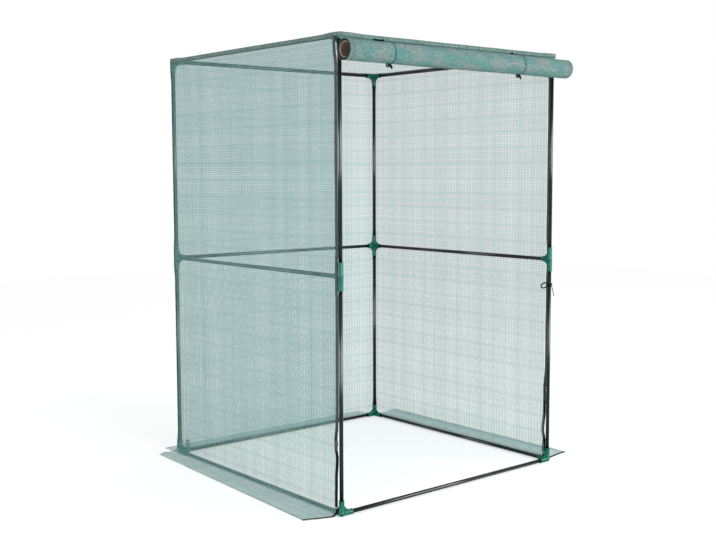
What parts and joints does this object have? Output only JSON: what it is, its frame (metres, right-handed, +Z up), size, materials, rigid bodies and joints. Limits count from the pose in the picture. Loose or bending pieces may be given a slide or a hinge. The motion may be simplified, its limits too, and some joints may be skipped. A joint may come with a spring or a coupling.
{
  "type": "fruit cage",
  "caption": "Walk-up garden cage of push-fit steel tubes under a fine net cover, with a zipped roll-up door and ground flaps.",
  "frame": {"origin": "on the ground under the middle of the object's bounding box", "axes": "+Z up, -Y towards the door, +X to the right of someone facing the door"},
  "size_m": [1.5322, 1.4349, 1.8241],
  "materials": {
    "tube_paint": "gloss",
    "connector_green": "satin",
    "cover_net": "fine woven net",
    "binding_cloth": "woven tape",
    "zip_black": "woven zip tape",
    "slider_metal": "satin",
    "tie_cord": "braided cord",
    "core_card": "plain cardboard"
  },
  "bodies": {
    "frame": {"bottom_rail_left": "tube_paint", "bottom_rail_right": "tube_paint", "bottom_rail_back": "tube_paint", "bottom_rail_front": "tube_paint", "mid_rail_left": "tube_paint", "mid_rail_right": "tube_paint", "mid_rail_back": "tube_paint", "top_rail_left": "tube_paint", "top_rail_right": "tube_paint", "top_rail_back": "tube_paint", "top_rail_front": "tube_paint", "lower_post_front_left": "tube_paint", "lower_post_front_right": "tube_paint", "lower_post_back_right": "tube_paint", "lower_post_back_left": "tube_paint", "upper_post_front_left": "tube_paint", "upper_post_front_right": "tube_paint", "upper_post_back_right": "tube_paint", "upper_post_back_left": "tube_paint", "bottom_connector_front_left": "connector_green", "bottom_connector_front_right": "connector_green", "bottom_connector_back_right": "connector_green", "bottom_connector_back_left": "connector_green", "mid_connector_front_left": "connector_green", "mid_connector_front_right": "connector_green", "mid_connector_back_right": "connector_green", "mid_connector_back_left": "connector_green", "top_connector_front_left": "connector_green", "top_connector_front_right": "connector_green", "top_connector_back_right": "connector_green", "top_connector_back_left": "connector_green", "net_left": "cover_net", "net_right": "cover_net", "net_back": "cover_net", "net_roof": "cover_net", "header_net": "cover_net", "roof_binding": "binding_cloth", "back_binding_left": "binding_cloth", "back_binding_right": "binding_cloth", "zip_tape_left": "zip_black", "zip_tape_right": "zip_black", "door_tie_left": "tie_cord", "door_tie_right": "tie_cord", "post_tie": "tie_cord", "corner_loop_front_right": "tie_cord", "corner_loop_back_left": "tie_cord"},
    "falling_strip": {"door_strip": "cover_net"},
    "rolled_door": {"door_roll": "cover_net", "door_tape_left": "zip_black", "door_tape_right": "zip_black", "roll_core": "core_card"},
    "left_slider": {"zip_slider_left": "slider_metal"},
    "right_slider": {"zip_slider_right": "slider_metal"},
    "left_pull_tab": {"pull_tab_left": "slider_metal"},
    "right_pull_tab": {"pull_tab_right": "slider_metal"},
    "left_flap": {"flap_left": "cover_net", "flap_tape_left": "zip_black"},
    "right_flap": {"flap_right": "cover_net", "flap_tape_right": "zip_black"},
    "back_flap": {"flap_back": "cover_net"}
  },
  "joints": [
    {"name": "door_drop", "type": "slide", "parent": "frame", "child": "falling_strip", "axis": [0, 0, -1], "range_m": [0, 1.7], "deforming": ["door_strip", "door_tie_left", "door_tie_right"]},
    {"name": "door_unroll", "type": "hinge", "parent": "falling_strip", "child": "rolled_door", "pos_m": [-0.021, -0.67292, 1.755], "axis": [1, 0, 0], "range_deg": [0, 2520]},
    {"name": "left_zip", "type": "slide", "parent": "frame", "child": "left_slider", "axis": [0, 0, 1], "range_m": [-0.24, 1.5]},
    {"name": "right_zip", "type": "slide", "parent": "frame", "child": "right_slider", "axis": [0, 0, 1], "range_m": [-0.24, 1.5]},
    {"name": "left_tab_swing", "type": "hinge", "parent": "left_slider", "child": "left_pull_tab", "pos_m": [-0.6433, -0.61007, 0.285], "axis": [0, 1, 0], "range_deg": [0, 170]},
    {"name": "right_tab_swing", "type": "hinge", "parent": "right_slider", "child": "right_pull_tab", "pos_m": [0.5953, -0.59407, 0.285], "axis": [0, -1, 0], "range_deg": [0, 170]},
    {"name": "left_flap_lift", "type": "hinge", "parent": "frame", "child": "left_flap", "pos_m": [-0.6371, 0, 0.032], "axis": [0, 1, 0], "range_deg": [0, 85]},
    {"name": "right_flap_lift", "type": "hinge", "parent": "frame", "child": "right_flap", "pos_m": [0.5891, 0, 0.032], "axis": [0, -1, 0], "range_deg": [0, 85]},
    {"name": "back_flap_lift", "type": "hinge", "parent": "frame", "child": "back_flap", "pos_m": [-0.024, 0.59358, 0.032], "axis": [1, 0, 0], "range_deg": [0, 85]}
  ],
  "couplings": [
    {"joint": "door_unroll", "follows": "door_drop", "rad_per_m": 25.87}
  ]
}
